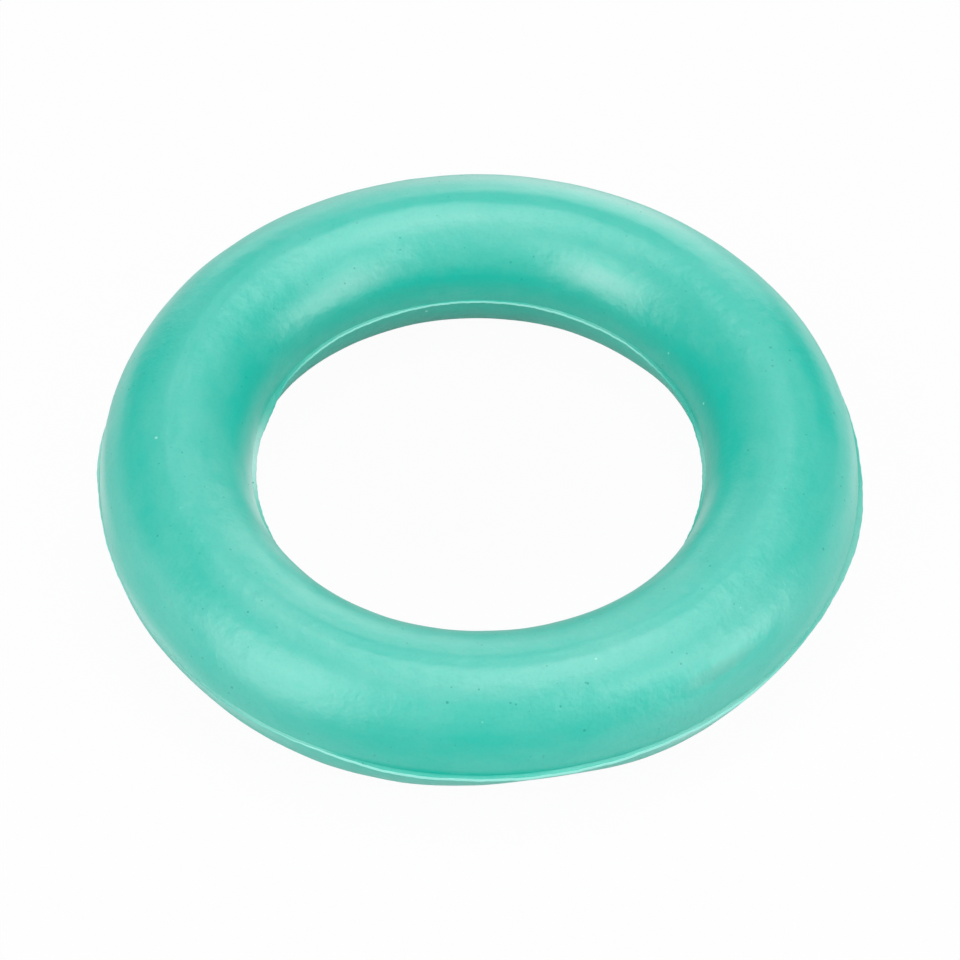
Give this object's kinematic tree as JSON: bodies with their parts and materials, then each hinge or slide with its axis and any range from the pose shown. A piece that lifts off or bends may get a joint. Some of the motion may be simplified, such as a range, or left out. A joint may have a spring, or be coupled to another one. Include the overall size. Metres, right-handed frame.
{
  "type": "dog chew ring",
  "caption": "Solid rubber ring of round section for a dog to chew, tug and fetch, with a thin trimmed fin of flash along its parting line.",
  "frame": {"origin": "on the ring's axis, at the height of the surface that the ring rests on when it lies flat", "axes": "+Z along the ring's axis, up; the hollows under the fin face -Y"},
  "size_m": [0.1516, 0.1514, 0.03],
  "materials": {
    "rubber": "satin"
  },
  "bodies": {
    "root": {"rubber_ring": "rubber"}
  },
  "joints": []
}
